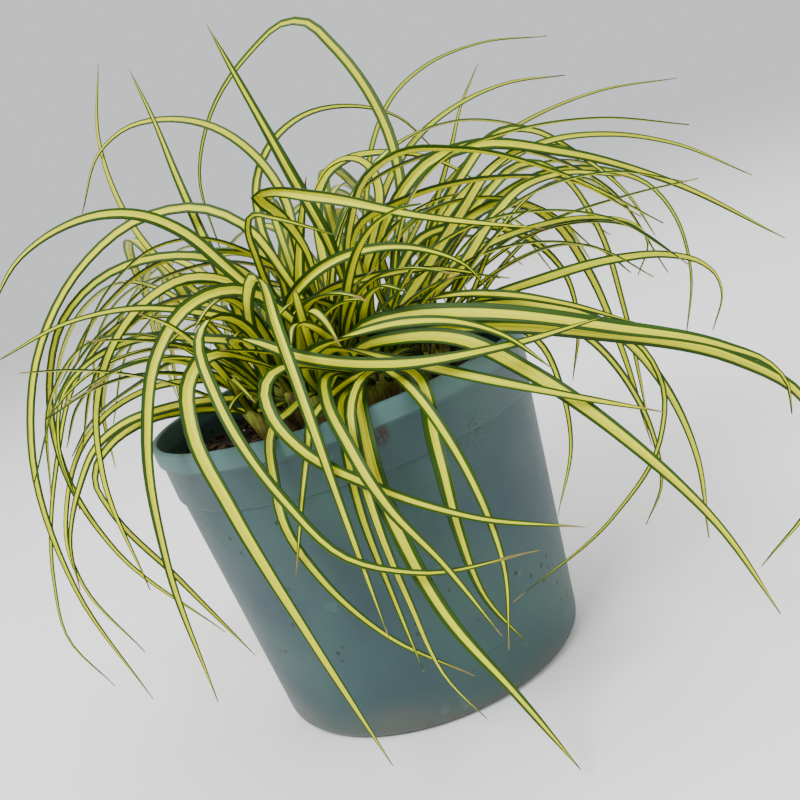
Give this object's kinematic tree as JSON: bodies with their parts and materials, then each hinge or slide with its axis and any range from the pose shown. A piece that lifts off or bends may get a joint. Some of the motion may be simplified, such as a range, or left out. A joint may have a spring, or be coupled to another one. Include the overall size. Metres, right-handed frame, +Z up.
{
  "type": "potted sedge",
  "caption": "Clump of arching gold-striped grass-like leaves growing in a tapered round plastic nursery pot with a rim band.",
  "frame": {"origin": "middle of the pot's base, on the floor plane that the foot ring and the centre pad stand on", "axes": "+Z up along the pot's axis; -Y to the front, where the longest leaves hang over the rim; +X to the right"},
  "size_m": [0.3405, 0.3082, 0.2551],
  "materials": {
    "pot": "matte blue-grey, slightly dusty",
    "soil": "damp dark potting mix, crumbly",
    "leaf": "satin; yellow middle between dark green margins"
  },
  "bodies": {
    "root": {"pot": "pot", "soil": "soil", "shoot_01": "leaf", "shoot_02": "leaf", "shoot_03": "leaf", "shoot_04": "leaf", "shoot_05": "leaf", "shoot_06": "leaf", "shoot_07": "leaf", "shoot_08": "leaf", "shoot_09": "leaf", "shoot_10": "leaf", "shoot_11": "leaf", "shoot_12": "leaf", "shoot_13": "leaf", "shoot_14": "leaf", "shoot_15": "leaf", "shoot_16": "leaf", "shoot_17": "leaf", "shoot_18": "leaf", "shoot_19": "leaf", "shoot_20": "leaf", "shoot_21": "leaf", "shoot_22": "leaf", "shoot_23": "leaf", "shoot_24": "leaf", "shoot_25": "leaf", "shoot_26": "leaf", "shoot_27": "leaf", "shoot_28": "leaf", "shoot_29": "leaf", "shoot_30": "leaf", "shoot_31": "leaf"}
  },
  "joints": []
}
